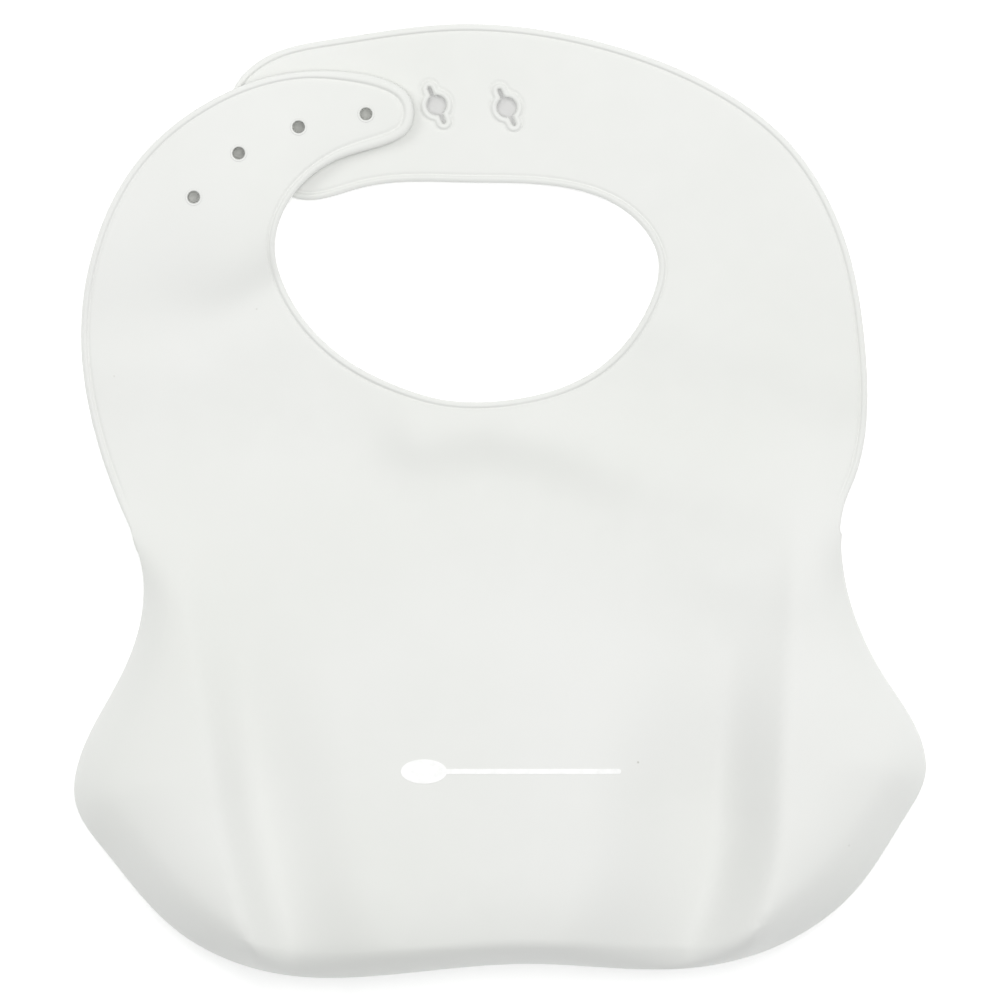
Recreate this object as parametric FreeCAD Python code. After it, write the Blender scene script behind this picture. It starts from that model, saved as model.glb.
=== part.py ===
import FreeCAD, Part
import math
import os

# Silicone catch-pocket bib, lying flat on its pocket with the neck side up.  Millimetres.
# X runs across the bib, Y from the pocket to the neck straps, Z up from the resting surface.
# Origin: middle of the bib's footprint on the resting surface.

# ---- driving dimensions ----
SHEET = 1.8                 # thickness of the moulded sheet
HEM_WIDTH = 2.2             # width of the raised hem along every free edge
HEM_RISE = 0.3              # how far the hem stands proud of each face
CUT_GAP = 0.3               # clearance where two moving regions meet
FRONT_GAP = 0.5             # clearance round the moving pocket front

STRAP_TOP = 4.9             # upper face of the sheet round the neck and of the hole strap
PANEL_TOP = 32.5            # upper face of the back panel over the pocket
CREST_RISE = 3.4            # how far the pocket's side creases stand above the panel
CREST_X = 81.0              # half the distance between the two side creases
CREST_WIDTH = 15.0          # width of the slope inside each crease
ROLL = 16.0                 # width over which the pocket's outer edge rolls over
ROLL_POWER = 1.5            # how full the roll is
WALL_FALL = 0.8             # share of the pocket's height lost down its side walls
EDGE_Z = 10.0               # height of the pocket's outermost edge at the waists
EDGE_LIFT = 6.0             # how much higher that edge lies round the pocket's bottom
EDGE_LIFT_Y = -50.0         # it starts to lift here
EDGE_LIFT_LENGTH = 60.0
EDGE_HALF = 0.6             # half the height of that blunt edge
FLAT_CUT = 0.15             # shaved off the underside, so that the pocket rests on a true flat
CORNER_DEPTH = 4.5          # depth of the pocket where its rim meets the waists
LAYER_SPLIT_Z = 7.5         # level between the pocket's front and its back panel
BASE_SPLIT_Z = 16.0         # the same level over the foot of the pocket base
RISE_START_Y = 24.0         # the sheet starts to rise here, towards the pocket
RISE_LENGTH = 150.0         # length over which it reaches the panel's full height
RISE_EASE = 0.12            # share of that length over which the rise eases in
TURN_LENGTH = 34.0          # length over which the outer edge turns under
SETTLE_LENGTH = 45.0        # length over which the underside comes down to the surface
CLIMB_LENGTH = 20.0         # length over which the peg strap climbs onto the hole strap
PEG_STRAP_LIFT = 3.0        # how far the peg strap lies above the hole strap
SHOULDER_DROOP = 2.2        # how far the shoulders' outer edges hang
DROOP_X = 112.0

CHEST_FOLD_Y = 6.0          # fold between the pocket half and the chest
PEG_HINGE_Y = 59.0          # crease where the peg strap leaves the shoulder
HOLE_HINGE_Y = 52.0         # crease where the hole strap leaves the shoulder
CHEST_TOP_Y = 30.0          # line where the chest panel ends and the shoulders begin
FRONT_HINGE_Y = -104.0      # crease at the foot of the pocket front
FRONT_HALF = 62.0           # half width of the moving pocket front
BASE_TOP_Y = -120.0         # the rolled pocket base lies below this line
OUTER_HEM_X = 85.0          # hems further out than this belong to the shoulders' outer edges

STEM_RADIUS = 2.45          # closure peg: hollow stem, blind bore and button head
BORE_RADIUS = 1.75
HEAD_RADIUS = 4.2
HEAD_TOP = 2.2
HEAD_BOTTOM = 0.3
HEAD_ROUND = 0.7
BORE_BOTTOM = 3.6
KEYHOLE_RADIUS = 2.75       # keyhole: round hole with a narrow slit out of each side
SLIT_HALF_LENGTH = 5.6
SLIT_WIDTH = 1.0
SLIT_LEAN = 23.5            # degrees that the slits lean from the Y axis
COLLAR_WIDTH = 1.8

PEGS = [(-86.4, 85.4), (-73.7, 97.8), (-56.8, 105.2), (-37.8, 108.9)]
KEYHOLES = [(-56.8, 105.2), (-37.8, 108.9), (-17.9, 111.4), (1.9, 110.8)]

MOTIF_CENTRE = (3.1, -76.4)  # small printed spoon on the back panel
MOTIF_LENGTH = 62.0
MOTIF_BOWL = (6.5, 3.4)      # half length and half width of the spoon's bowl
MOTIF_HANDLE = 1.4
MOTIF_THICKNESS = 0.15

GRID_STEP = 4.0              # spacing of the points that carry the curved faces
GRID_HALF = 126.0            # half the width that the curved faces cover
FAR = 400.0                  # larger than the bib, for cutting blocks
V = FreeCAD.Vector

# ---- outline, seen from above ----
FOLD_LEFT = (-110.3, CHEST_FOLD_Y)
FOLD_RIGHT = (100.1, CHEST_FOLD_Y)
COLLAR_FOOT_Y = 2.0
FOOT_LEFT = (-108.7, COLLAR_FOOT_Y)
FOOT_RIGHT = (98.5, COLLAR_FOOT_Y)
NECK_LOW = (-9.9, 27.9)
NECK_HEM_FOOT_Y = NECK_LOW[1] - HEM_WIDTH - CUT_GAP  # the neck hem lies above this line

# from the chest fold up the left shoulder, round the peg strap and back down the neck
PEG_OUTLINE = [FOOT_LEFT, FOLD_LEFT, (-115.5, 23.0), (-118.4, 45.0), (-114.9, 70.5),
               (-102.2, 95.9), (-83.0, 112.0), (-63.0, 119.8), (-43.0, 120.8), (-29.8, 116.4),
               (-24.3, 108.8), (-29.9, 101.0), (-45.3, 95.9), (-58.5, 85.6), (-63.3, 72.0),
               (-59.6, 57.8), (-42.4, 39.0), (-25.1, 30.9), (-17.0, 28.7), NECK_LOW]
# the same round the right shoulder and the hole strap
HOLE_OUTLINE = [FOOT_RIGHT, FOLD_RIGHT, (103.6, 23.0), (103.0, 45.0), (98.4, 70.5),
                (81.6, 101.0),
                (57.9, 118.2), (29.7, 128.9), (-12.7, 134.3), (-48.0, 130.0),
                (-68.5, 123.6), (-75.9, 113.4), (-74.0, 105.5), (-67.2, 92.0),
                (-57.0, 84.9), (-39.7, 87.9), (-9.9, 89.6), (20.0, 87.8), (36.0, 81.0),
                (44.6, 68.0), (41.5, 54.0), (26.8, 36.6), (6.7, 29.1), (-2.0, 28.0), NECK_LOW]
# from the chest fold down the right side, round the pocket and up the left side
POCKET_OUTLINE = [FOLD_RIGHT, (97.7, 0.0), (96.3, -14.0), (98.8, -28.4), (108.4, -49.6),
                  (118.8, -67.5), (120.0, -77.5), (114.4, -89.1), (100.0, -110.3),
                  (79.1, -125.3), (52.0, -132.0), (8.5, -130.7), (-33.9, -134.0),
                  (-62.0, -133.6), (-90.7, -121.6), (-111.3, -99.0), (-119.8, -85.0),
                  (-118.8, -73.5), (-107.0, -49.6), (-101.2, -33.0), (-100.9, -20.0),
                  (-105.0, -7.0), FOLD_LEFT]

RIM_HALF = 94.0              # half width of the pocket's mouth
RIM_CORNER_Y = -12.0         # where the mouth's corners meet the waists
RIM_DIP = 62.0               # how far the rim dips between its corners
RIM_POWER = 2.4


def point(pair, z=0.0):
    return V(pair[0], pair[1], z)


def curve(points):
    """Smooth curve through a few points."""
    spline = Part.BSplineCurve()
    spline.interpolate(Points=[point(p) for p in points])
    return spline


PEG_CURVE = curve(PEG_OUTLINE)
HOLE_CURVE = curve(HOLE_OUTLINE)
POCKET_CURVE = curve(POCKET_OUTLINE)


# ---- outline blocks ----
def stepped(spline, count):
    """Evenly stepped parameters along a curve."""
    low = spline.FirstParameter
    span = spline.LastParameter - low
    return [low + span * i / count for i in range(count + 1)]


def inset_curve(spline, count, inset):
    """The same curve, moved to its left by a given amount."""
    points = []
    for t in stepped(spline, count):
        place = spline.value(t)
        way = spline.tangent(t)[0]
        points.append((place.x - way.y * inset, place.y + way.x * inset))
    return curve(points)


def closed_wire(curves):
    """Closed outline: the given curves in order, with straight edges across any gaps."""
    edges = []
    count = len(curves)
    for i in range(count):
        edges.append(curves[i].toShape())
        a = curves[i].EndPoint
        b = curves[(i + 1) % count].StartPoint
        if a.distanceToPoint(b) > 1.0e-6:
            edges.append(Part.LineSegment(a, b).toShape())
    return Part.Wire(edges)


def prism(wire):
    """Upright block with the given outline."""
    face = Part.Face(wire)
    face.translate(V(0, 0, -FAR / 4.0))
    return face.extrude(V(0, 0, FAR))


def block(x0, x1, y0, y1, z0=-FAR / 4.0, z1=FAR / 4.0):
    return Part.makeBox(x1 - x0, y1 - y0, z1 - z0, V(x0, y0, z0))


def collar_half(spline, side, inset):
    """Outline block of one half of the sheet round the neck, above the chest fold."""
    if inset:
        spline = inset_curve(spline, 60, inset * side)
    middle = V(NECK_LOW[0], COLLAR_FOOT_Y, 0.0)
    foot = Part.LineSegment(middle, middle + V(side, 0.0, 0.0))
    return prism(closed_wire([spline, foot]))


def pocket_prism(inset):
    """Outline block of the pocket half, below the chest fold."""
    outline = inset_curve(POCKET_CURVE, 60, -inset) if inset else POCKET_CURVE
    return prism(closed_wire([outline]))


def rim_y(x):
    """Line of the pocket's rim: level with the waists at its corners, low in the middle."""
    return RIM_CORNER_Y - RIM_DIP * (1.0 - (abs(x) / RIM_HALF) ** RIM_POWER)


def mouth_prism(inset):
    """Outline block of the pocket's mouth, widened by the given amount."""
    half = RIM_HALF + inset
    points = []
    for i in range(-6, 7):
        x = i / 6.0
        points.append((x * half, rim_y(x * RIM_HALF) - inset))
    rim = curve(points)
    top = Part.LineSegment(V(half, CHEST_FOLD_Y + 1.0, 0.0), V(-half, CHEST_FOLD_Y + 1.0, 0.0))
    return prism(closed_wire([rim, top]))


# ---- curved faces ----
POCKET_POINTS = [POCKET_CURVE.value(t) for t in stepped(POCKET_CURVE, 260)]


def smooth(u):
    """Eases from 0 to 1."""
    u = min(max(u, 0.0), 1.0)
    return u * u * (3.0 - 2.0 * u)


def climbing(u):
    """Even rise from 0 to 1 with an eased start."""
    u = min(max(u, 0.0), 1.0)
    if u < RISE_EASE:
        return u * u / (RISE_EASE * (2.0 - RISE_EASE))
    return (u - RISE_EASE / 2.0) / (1.0 - RISE_EASE / 2.0)


def edge_distance(x, y):
    """Distance in from the pocket's outline; negative outside it."""
    nearest = min((p.x - x) ** 2 + (p.y - y) ** 2 for p in POCKET_POINTS)
    if y >= CHEST_FOLD_Y:
        inside = FOLD_LEFT[0] < x < FOLD_RIGHT[0]
    else:
        inside = False
        for a, b in zip(POCKET_POINTS, POCKET_POINTS[1:]):
            if (a.y > y) != (b.y > y) and x < (b.x - a.x) * (y - a.y) / (b.y - a.y) + a.x:
                inside = not inside
    return math.sqrt(nearest) if inside else -math.sqrt(nearest)


def rolled(d):
    """Rise of the rolled edge: 0 at the outline, 1 a roll's width inside it."""
    u = d / ROLL
    if u >= 1.0:
        return 1.0
    if u < 0.0:
        return ROLL_POWER * u
    return 1.0 - (1.0 - u) ** ROLL_POWER


def open_sheet(x, y):
    """Upper face of the sheet round the neck, chest and shoulders."""
    rise = climbing((RISE_START_Y - y) / RISE_LENGTH)
    droop = min(abs(x) / DROOP_X, 1.1) ** 4
    return STRAP_TOP + (PANEL_TOP - STRAP_TOP) * rise - SHOULDER_DROOP * droop


def peg_sheet(x, y):
    """Upper face of the peg strap, which climbs onto the hole strap."""
    return open_sheet(x, y) + PEG_STRAP_LIFT * smooth((y - PEG_HINGE_Y - 2.0) / CLIMB_LENGTH)


def turned_under(y):
    """How far the outer edge has turned under: 0 at the chest fold, 1 over the pocket."""
    return smooth((CHEST_FOLD_Y - 2.0 - y) / TURN_LENGTH)


def turned_height(y):
    """Height of the outermost edge where it has fully turned under."""
    return EDGE_Z + EDGE_LIFT * smooth((EDGE_LIFT_Y - y) / EDGE_LIFT_LENGTH)


def edge_height(x, y):
    """Height of the pocket half's outline."""
    turned_z = turned_height(y)
    return turned_z + (open_sheet(x, y) - turned_z) * (1.0 - turned_under(y))


def panel_top(x, y, d):
    """Upper face of the pocket half, at a distance d in from its outline."""
    turned = turned_under(y)
    across = abs(x)
    crest = smooth((across - CREST_X + CREST_WIDTH) / CREST_WIDTH)
    top = open_sheet(x, y) + CREST_RISE * turned * crest
    if across > CREST_X:
        inward = max(d, 0.0) / (max(d, 0.0) + across - CREST_X)
        top -= WALL_FALL * turned * (top - turned_height(y)) * (1.0 - inward)
    edge = edge_height(x, y) + EDGE_HALF * turned
    return edge + (top - edge) * (1.0 - turned * (1.0 - rolled(d)))


def panel_bottom(x, y, d):
    """Outer face of the pocket's underside, at a distance d in from its outline."""
    settled = smooth((RIM_CORNER_Y + 4.0 - y) / SETTLE_LENGTH)
    edge = edge_height(x, y) - EDGE_HALF * turned_under(y)
    floor = (edge - CORNER_DEPTH) * (1.0 - settled) - FLAT_CUT * settled
    return edge - (edge - floor) * rolled(d)


def height_face(height, y_low, y_high):
    """Curved face z = height(x, y) over the bib's width."""
    columns = int(2.0 * GRID_HALF / GRID_STEP)
    rows = int((y_high - y_low) / GRID_STEP)
    grid = []
    for i in range(columns + 1):
        x = GRID_HALF * (2.0 * i / columns - 1.0)
        ys = [y_low + (y_high - y_low) * j / rows for j in range(rows + 1)]
        grid.append([V(x, y, height(x, y)) for y in ys])
    surface = Part.BSplineSurface()
    surface.interpolate(grid)
    return surface.toShape()


def below(face, raised=0.0, depth=FAR):
    """Solid from a curved face, raised by some amount, down to a given depth under it."""
    moved = face.copy()
    moved.translate(V(0, 0, raised))
    return moved.extrude(V(0, 0, -depth))


def skin(face):
    """A sheet's thickness under a curved upper face."""
    return below(face, 0.0, SHEET)


def hem(face):
    """The hem's thickness, proud of both faces of the sheet."""
    return below(face, HEM_RISE, SHEET + 2.0 * HEM_RISE)


OPEN_FACE = height_face(open_sheet, CHEST_FOLD_Y - 4.0, 142.0)
PEG_FACE = height_face(peg_sheet, PEG_HINGE_Y - 5.0, 129.0)
PANEL_FACE = height_face(lambda x, y: panel_top(x, y, edge_distance(x, y)), -142.0, 10.0)
PANEL_INNER = height_face(
    lambda x, y: panel_top(x, y, edge_distance(x, y) - SHEET) - SHEET, -142.0, 10.0)
UNDER_FACE = height_face(lambda x, y: panel_bottom(x, y, edge_distance(x, y)), -142.0, 10.0)
UNDER_INNER = height_face(
    lambda x, y: panel_bottom(x, y, edge_distance(x, y) - SHEET) + SHEET, -142.0, 10.0)

PEG_SIDE = collar_half(PEG_CURVE, -1.0, 0.0)
PEG_SIDE_IN = collar_half(PEG_CURVE, -1.0, HEM_WIDTH)
HOLE_SIDE = collar_half(HOLE_CURVE, 1.0, 0.0)
HOLE_SIDE_IN = collar_half(HOLE_CURVE, 1.0, HEM_WIDTH)
PEG_BAND = PEG_SIDE.cut(PEG_SIDE_IN)
HOLE_BAND = HOLE_SIDE.cut(HOLE_SIDE_IN)


# ---- pocket half ----
def pocket_shell():
    """Hollow pocket half with its mouth open, cut short of the chest fold."""
    outline = pocket_prism(0.0)
    room = pocket_prism(SHEET)
    fold = CHEST_FOLD_Y - CUT_GAP / 2.0
    bag = block(-FAR, FAR, -FAR, RIM_CORNER_Y, 0.0)
    outer = outline.common(below(PANEL_FACE)).cut(below(UNDER_FACE)).common(bag)
    hollow = room.common(below(PANEL_INNER)).cut(below(UNDER_INNER))
    shell = outer.cut(hollow)
    mouth = mouth_prism(HEM_WIDTH).common(below(UNDER_INNER, 0.2))
    shell = shell.cut(mouth)
    flap = outline.common(skin(PANEL_FACE)).common(block(-FAR, FAR, RIM_CORNER_Y, fold))
    return shell, flap


def back_panel(shell):
    """The panel between the two creases, over the pocket."""
    foot_y = FRONT_HINGE_Y - FRONT_GAP / 2.0
    over_front = block(-CREST_X, CREST_X, foot_y, RIM_CORNER_Y, LAYER_SPLIT_Z)
    over_base = block(-CREST_X, CREST_X, BASE_TOP_Y, foot_y, BASE_SPLIT_Z)
    return shell.common(over_front.fuse(over_base).removeSplitter())


def waist_panel(flap):
    """The sheet between the back panel and the chest fold."""
    return flap.common(block(-CREST_X, CREST_X, RIM_CORNER_Y, FAR))


def gusset(shell, flap, side):
    """Side wall of the pocket, from its crease out round the edge and under."""
    if side < 0:
        region = block(-FAR, -CREST_X, BASE_TOP_Y, FAR)
    else:
        region = block(CREST_X, FAR, BASE_TOP_Y, FAR)
    return shell.common(region).fuse(flap.common(region)).removeSplitter()


def pocket_base(shell):
    """Rolled bottom of the pocket."""
    roll = shell.common(block(-FAR, FAR, -FAR, BASE_TOP_Y))
    foot_y = FRONT_HINGE_Y - FRONT_GAP / 2.0
    foot = shell.common(block(-CREST_X, CREST_X, BASE_TOP_Y, foot_y, -FAR, BASE_SPLIT_Z))
    return roll.fuse(foot).removeSplitter()


def front_region(side):
    """Block that holds the moving middle of the pocket front, or a fixed side of it."""
    low_y = FRONT_HINGE_Y + FRONT_GAP / 2.0
    edge = FRONT_HALF + FRONT_GAP / 2.0
    if side == 0:
        half = FRONT_HALF - FRONT_GAP / 2.0
        return block(-half, half, low_y, RIM_CORNER_Y, 0.0, LAYER_SPLIT_Z)
    low_y = FRONT_HINGE_Y - FRONT_GAP / 2.0
    if side < 0:
        return block(-CREST_X, -edge, low_y, RIM_CORNER_Y, 0.0, LAYER_SPLIT_Z)
    return block(edge, CREST_X, low_y, RIM_CORNER_Y, 0.0, LAYER_SPLIT_Z)


def rim_hem(side):
    """Hem along one stretch of the pocket's rim, thickened towards the inside."""
    band = mouth_prism(HEM_WIDTH).cut(mouth_prism(0.0))
    strip = UNDER_FACE.extrude(V(0, 0, SHEET + 2.0 * HEM_RISE))
    return strip.common(band).common(front_region(side))


def printed_motif():
    """Plain printed spoon: an oval bowl and a thin handle."""
    cx = MOTIF_CENTRE[0]
    cy = MOTIF_CENTRE[1]
    half_long = MOTIF_BOWL[0]
    bowl_x = cx - MOTIF_LENGTH / 2.0 + half_long
    ellipse = Part.Ellipse(V(bowl_x, cy, 0.0), half_long, MOTIF_BOWL[1])
    bowl = prism(Part.Wire([ellipse.toShape()]))
    handle = block(bowl_x, cx + MOTIF_LENGTH / 2.0, cy - MOTIF_HANDLE / 2.0,
                   cy + MOTIF_HANDLE / 2.0)
    layer = below(PANEL_FACE, MOTIF_THICKNESS, MOTIF_THICKNESS)
    return bowl.fuse(handle).removeSplitter().common(layer)


# ---- chest, shoulders and straps ----
def band_of(y0, y1):
    return block(-FAR, FAR, y0, y1)


def chest_panel():
    """The sheet between the chest fold and the shoulders."""
    region = band_of(CHEST_FOLD_Y + CUT_GAP / 2.0, CHEST_TOP_Y)
    middle = block(NECK_LOW[0] - 1.0, NECK_LOW[0] + 1.0, COLLAR_FOOT_Y, NECK_HEM_FOOT_Y)
    outline = PEG_SIDE_IN.fuse(HOLE_SIDE_IN).fuse(middle).removeSplitter()
    return skin(OPEN_FACE).common(outline).common(region)


def shoulder(outline, hinge_y):
    region = band_of(CHEST_TOP_Y, hinge_y - CUT_GAP / 2.0)
    return skin(OPEN_FACE).common(outline).common(region)


def outer_hem(band, hinge_y, side):
    """Hem along the outer edge of a shoulder."""
    y0 = CHEST_FOLD_Y + CUT_GAP / 2.0
    y1 = hinge_y - CUT_GAP / 2.0
    if side < 0:
        region = block(-FAR, -OUTER_HEM_X, y0, y1)
    else:
        region = block(OUTER_HEM_X, FAR, y0, y1)
    return hem(OPEN_FACE).common(band).common(region)


def neck_hem():
    """Hem along the lower half of the neck opening."""
    left = block(-OUTER_HEM_X, NECK_LOW[0], NECK_HEM_FOOT_Y, PEG_HINGE_Y - CUT_GAP / 2.0)
    right = block(NECK_LOW[0], OUTER_HEM_X, NECK_HEM_FOOT_Y, HOLE_HINGE_Y - CUT_GAP / 2.0)
    thick = hem(OPEN_FACE)
    left_part = thick.common(PEG_BAND).common(left)
    right_part = thick.common(HOLE_BAND).common(right)
    return left_part.fuse(right_part).removeSplitter()


def peg_strap():
    region = band_of(PEG_HINGE_Y + CUT_GAP / 2.0, FAR)
    strap = skin(PEG_FACE).common(PEG_SIDE_IN).common(region)
    for place in PEGS:
        strap = strap.cut(Part.makeCylinder(BORE_RADIUS, FAR, point(place, -FAR / 2.0)))
    return strap


def peg_strap_hem():
    region = band_of(PEG_HINGE_Y + CUT_GAP / 2.0, FAR)
    return hem(PEG_FACE).common(PEG_BAND).common(region)


def closure_peg(place):
    """Hollow peg under the peg strap: a stem with a rounded button head."""
    head = Part.makeCylinder(HEAD_RADIUS, HEAD_TOP - HEAD_BOTTOM, point(place, HEAD_BOTTOM))
    head = head.makeFillet(HEAD_ROUND, head.Edges)
    stem = Part.makeCylinder(STEM_RADIUS, STRAP_TOP * 3.0, point(place, HEAD_BOTTOM + 0.5))
    peg = head.fuse(stem).removeSplitter()
    peg = peg.common(below(PEG_FACE, -SHEET))
    return peg.cut(Part.makeCylinder(BORE_RADIUS, FAR, point(place, BORE_BOTTOM)))


def keyhole_prism(place, extra):
    """Outline block of a keyhole, widened all round by an extra amount."""
    hole = Part.makeCylinder(KEYHOLE_RADIUS + extra, FAR, V(0, 0, -FAR / 2.0))
    half_width = SLIT_WIDTH / 2.0 + extra
    reach = SLIT_HALF_LENGTH - SLIT_WIDTH / 2.0
    slit = block(-half_width, half_width, -reach, reach, -FAR / 2.0, FAR / 2.0)
    shape = hole.fuse(slit)
    for end in (-reach, reach):
        shape = shape.fuse(Part.makeCylinder(half_width, FAR, V(0, end, -FAR / 2.0)))
    shape = shape.removeSplitter()
    shape.rotate(V(0, 0, 0), V(0, 0, 1), SLIT_LEAN)
    shape.translate(point(place))
    return shape


def hole_strap():
    region = band_of(HOLE_HINGE_Y + CUT_GAP / 2.0, FAR)
    strap = skin(OPEN_FACE).common(HOLE_SIDE_IN).common(region)
    for place in KEYHOLES:
        strap = strap.cut(keyhole_prism(place, COLLAR_WIDTH))
    return strap


def hole_strap_hem():
    region = band_of(HOLE_HINGE_Y + CUT_GAP / 2.0, FAR)
    return hem(OPEN_FACE).common(HOLE_BAND).common(region)


def keyhole_collar(place):
    """Raised collar that follows the keyhole."""
    ring = keyhole_prism(place, COLLAR_WIDTH).cut(keyhole_prism(place, 0.0))
    return hem(OPEN_FACE).common(ring)


def build():
    """Every named piece of the bib."""
    shell, flap = pocket_shell()
    parts = {
        "back_panel": back_panel(shell),
        "waist_panel": waist_panel(flap),
        "left_gusset": gusset(shell, flap, -1),
        "right_gusset": gusset(shell, flap, 1),
        "pocket_base": pocket_base(shell),
        "front_side_left": shell.common(front_region(-1)).fuse(rim_hem(-1)).removeSplitter(),
        "front_side_right": shell.common(front_region(1)).fuse(rim_hem(1)).removeSplitter(),
        "printed_motif": printed_motif(),
        "pocket_front": shell.common(front_region(0)),
        "pocket_rim_bead": rim_hem(0),
        "chest_panel": chest_panel(),
        "left_shoulder": shoulder(PEG_SIDE_IN, PEG_HINGE_Y),
        "right_shoulder": shoulder(HOLE_SIDE_IN, HOLE_HINGE_Y),
        "left_hem": outer_hem(PEG_BAND, PEG_HINGE_Y, -1),
        "right_hem": outer_hem(HOLE_BAND, HOLE_HINGE_Y, 1),
        "neck_hem": neck_hem(),
        "peg_strap": peg_strap(),
        "peg_strap_hem": peg_strap_hem(),
        "hole_strap": hole_strap(),
        "hole_strap_hem": hole_strap_hem(),
    }
    for number, place in enumerate(PEGS, 1):
        parts["closure_peg_%d" % number] = closure_peg(place)
    for number, place in enumerate(KEYHOLES, 1):
        parts["keyhole_collar_%d" % number] = keyhole_collar(place)
    return parts


def main():
    os.makedirs("parts", exist_ok=True)
    for name, shape in build().items():
        solids = shape.Solids
        result = solids[0] if len(solids) == 1 else Part.makeCompound(solids)
        print("%-18s %d %s %9.1f" % (name, len(solids), result.isValid(), result.Volume))
        result.exportStep("parts/%s.step" % name)


main()
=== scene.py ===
import math

import bpy
import numpy as np
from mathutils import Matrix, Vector
from mathutils.geometry import delaunay_2d_cdt


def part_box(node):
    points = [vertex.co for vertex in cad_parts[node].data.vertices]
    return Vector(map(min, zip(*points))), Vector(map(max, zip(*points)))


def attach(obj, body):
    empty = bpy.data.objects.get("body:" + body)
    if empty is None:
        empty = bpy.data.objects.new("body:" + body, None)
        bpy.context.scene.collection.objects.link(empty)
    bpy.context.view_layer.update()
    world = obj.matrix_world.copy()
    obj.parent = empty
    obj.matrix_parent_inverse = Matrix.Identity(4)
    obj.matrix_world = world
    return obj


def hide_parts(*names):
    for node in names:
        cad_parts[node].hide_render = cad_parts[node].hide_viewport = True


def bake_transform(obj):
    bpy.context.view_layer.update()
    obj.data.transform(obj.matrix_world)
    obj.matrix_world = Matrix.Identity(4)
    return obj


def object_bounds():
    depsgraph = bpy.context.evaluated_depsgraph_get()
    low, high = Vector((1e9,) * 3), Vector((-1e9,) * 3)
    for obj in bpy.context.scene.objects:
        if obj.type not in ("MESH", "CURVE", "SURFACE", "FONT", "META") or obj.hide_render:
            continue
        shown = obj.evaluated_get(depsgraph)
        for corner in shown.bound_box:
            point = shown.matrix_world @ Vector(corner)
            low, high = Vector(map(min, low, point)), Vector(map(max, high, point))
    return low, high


# Silicone catch-pocket bib, lying back side up on its pocket.  The silicone is made as one continuous
# skin over the CAD frame and then divided where the frame's bodies bend, so that no seam shows.
# Sizes are in millimetres and become metres when a mesh is made.

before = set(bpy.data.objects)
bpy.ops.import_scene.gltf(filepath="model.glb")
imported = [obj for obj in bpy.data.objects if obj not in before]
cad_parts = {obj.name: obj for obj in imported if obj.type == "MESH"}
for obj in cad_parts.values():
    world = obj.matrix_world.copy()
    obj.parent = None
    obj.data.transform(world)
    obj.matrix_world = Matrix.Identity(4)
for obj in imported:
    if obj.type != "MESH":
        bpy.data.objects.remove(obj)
CAD_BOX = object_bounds()
MM = 0.001

# ---- driving sizes, as in the CAD model ----
SHEET = 1.8                 # thickness of the moulded sheet
STRAP_TOP = 4.9             # upper face of the sheet round the neck
PANEL_TOP = 32.5            # upper face of the panel over the pocket
RISE_START_Y = 24.0         # the sheet rises towards the pocket from here
RISE_LENGTH = 150.0
RISE_EASE = 0.12            # share of that length over which the rise eases in
EDGE_Z = 10.0               # height of the pocket's outermost edge at the waists
EDGE_LIFT = 6.0             # how much higher it lies round the pocket's bottom
EDGE_LIFT_Y = -50.0
EDGE_LIFT_LENGTH = 60.0
LEFT_SAG = 3.5              # how much lower it lies at the left corner
LEFT_SAG_X = -92.0
LEFT_SAG_LENGTH = 22.0
RIGHT_SAG = 5.0             # the same at the right corner
RIGHT_SAG_X = 62.0
RIGHT_SAG_LENGTH = 32.0
TURN_START_Y = 4.0          # the outer edge turns under from here
TURN_LENGTH = 34.0
ROLL = 7.4                  # width over which the pocket's outer edge rolls over at the bottom
SIDE_ROLL = 4.4             # how much wider it rolls over at the sides
SIDE_START_X = 58.0         # the sides start this far from the middle line
SIDE_LENGTH = 32.0
EASE = 28.0                 # width over which the panel bends down to the roll
EASE_SHARE = 0.3            # share of the roll's height that this bend takes
SIDE_EASE_LESS = 0.6        # how much smaller that share is at the sides
CORNER_DEPTH = 4.5          # depth of the pocket where its rim meets the waists
SETTLE_START_Y = -8.0       # the underside comes down to the floor from here
SETTLE_LENGTH = 45.0
CREST_RISE = 4.0            # how far the pocket's side creases stand above the panel
CREST_REACH = 6.0           # how far the slope inside a crease reaches
CREST_ROUND = 0.9           # how rounded the crease is
CREST_LOW_Y = -85.0         # the creases lean outwards above here and sweep inwards below
LEFT_CREST_X = 80.5         # distance of each crease from the middle line at that height
RIGHT_CREST_X = 79.6
LEFT_CREST_LEAN = 0.137
RIGHT_CREST_LEAN = 0.055
LEFT_CREST_SWEEP = (0.19, 0.0015)       # share of the way down, and of its square
RIGHT_CREST_SWEEP = (0.0, 0.0054)
VALLEY_LEFT = 6.0           # depth of the hollow inside each crease
VALLEY_RIGHT = 13.0
VALLEY_LEFT_REACH = 13.0    # width of the slope down into it
VALLEY_RIGHT_REACH = 19.0
VALLEY_START_Y = -18.0      # the hollows deepen downwards from here
VALLEY_LENGTH = 75.0
WALL_FALL = 0.5             # share of the pocket's height lost down its side walls
WALL_POWER = 2.2            # how late that fall comes
PEG_STRAP_LIFT = 3.2        # how far the peg strap lies above the hole strap
PEG_STRAP_SWELL = 2.6       # how much it bulges just above its foot
SWELL_LENGTH = 18.0
PEG_FOOT_Y = 55.0           # the peg strap starts climbing here, and higher up towards the neck
PEG_FOOT_X = -84.0
PEG_FOOT_END = 34.0         # distance past that place where the foot stops rising
PEG_FOOT_RISE = 0.032
PEG_FOOT_POWER = 1.85
CLIMB_LENGTH = 10.0
CLIMB_ROUND = 2.4           # how softly the climb starts
FLAT_X = -72.0              # the climb is flatter towards the strap's outer edge, from here
FLAT_LENGTH = 34.0
FLAT_CLIMB_MORE = 12.0
FLAT_ROUND_MORE = 2.6
FLAT_SWELL_LESS = 0.7
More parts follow.
